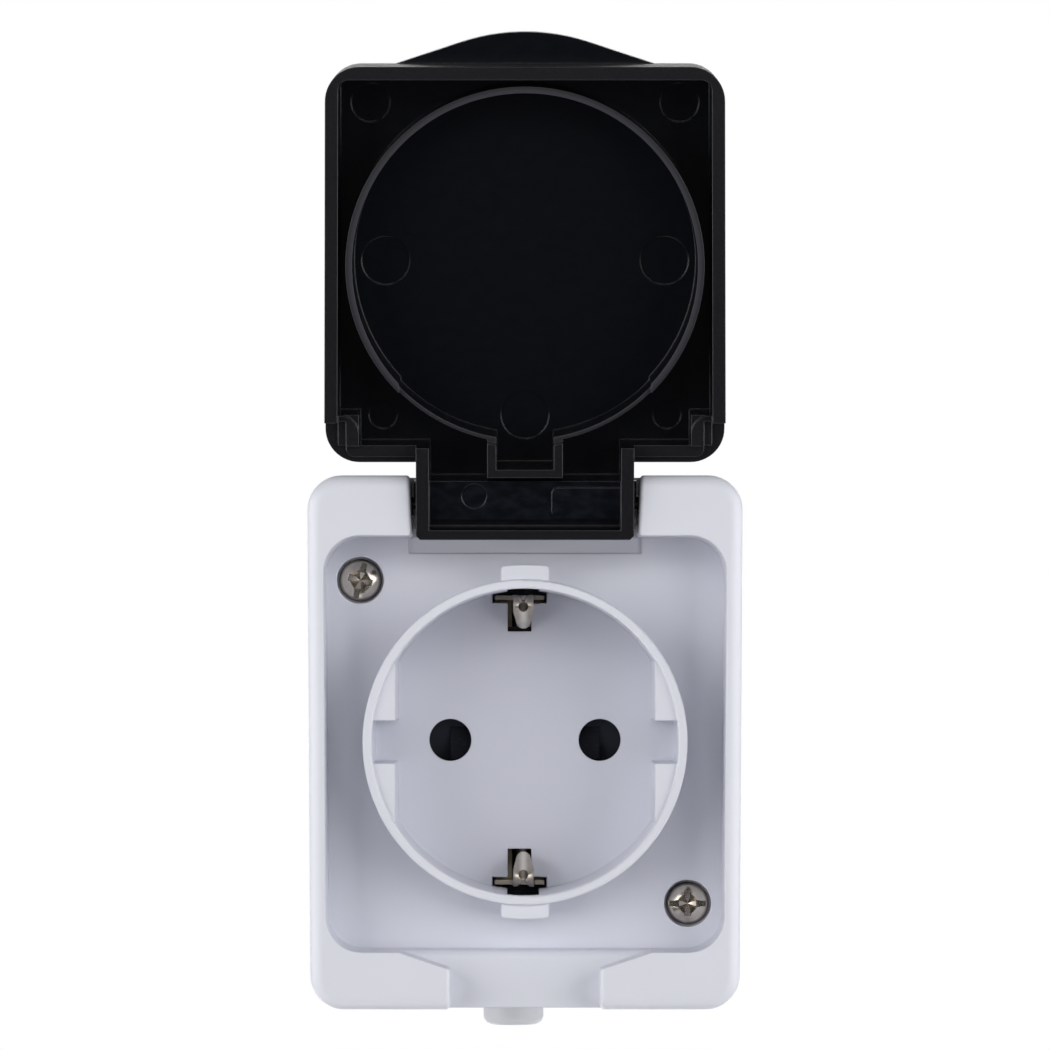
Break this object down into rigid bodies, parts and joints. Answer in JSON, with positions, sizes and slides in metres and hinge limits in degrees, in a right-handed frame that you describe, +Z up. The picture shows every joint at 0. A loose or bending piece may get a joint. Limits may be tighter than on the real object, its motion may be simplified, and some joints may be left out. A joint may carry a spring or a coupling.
{
  "type": "weatherproof socket outlet",
  "caption": "Surface-mounted weatherproof mains socket with side earth contacts, a round plug well and a black hinged lid that stands open.",
  "frame": {"origin": "on the wall plane, where the plug's axis meets it", "axes": "+Z up, -Y out of the wall towards the user, +X to the right as seen from the front"},
  "size_m": [0.054, 0.0565, 0.125],
  "materials": {
    "housing_plastic": "moulded, satin",
    "lid_plastic": "moulded, satin gloss",
    "grommet_rubber": "matt",
    "gasket_rubber": "matt",
    "carrier_plastic": "moulded, matt",
    "nickel_steel": "nickel-plated steel",
    "nickel_brass": "nickel-plated sheet",
    "contact_brass": "bright sheet",
    "bare_steel": "drawn",
    "black_steel": "drawn, blackened"
  },
  "bodies": {
    "housing": {"cable_grommet": "grommet_rubber", "carrier_screws": "nickel_steel", "contact_carrier": "carrier_plastic", "cover_gasket": "gasket_rubber", "cover_screws": "nickel_steel", "earth_clamp": "contact_brass", "earth_strap": "nickel_brass", "front_cover": "housing_plastic", "hinge_pin": "black_steel", "line_clamp": "contact_brass", "line_contact": "contact_brass", "line_contact_spring": "bare_steel", "neutral_clamp": "contact_brass", "neutral_contact": "contact_brass", "neutral_contact_spring": "bare_steel", "rear_base": "housing_plastic", "shutter_spring": "bare_steel", "terminal_screws": "nickel_steel"},
    "lid": {"lid": "lid_plastic"},
    "shutter": {"shutter": "carrier_plastic"}
  },
  "joints": [
    {"name": "lid_hinge", "type": "hinge", "parent": "housing", "child": "lid", "pos_m": [0, -0.0424, 0.0293], "axis": [1, 0, 0], "range_deg": [0, 170]},
    {"name": "shutter_slide", "type": "slide", "parent": "housing", "child": "shutter", "axis": [0, 0, 1], "range_m": [0, 0.0063], "stiffness_N_per_m": 60, "springref_m": -0.004, "deforming": ["shutter_spring"]}
  ]
}
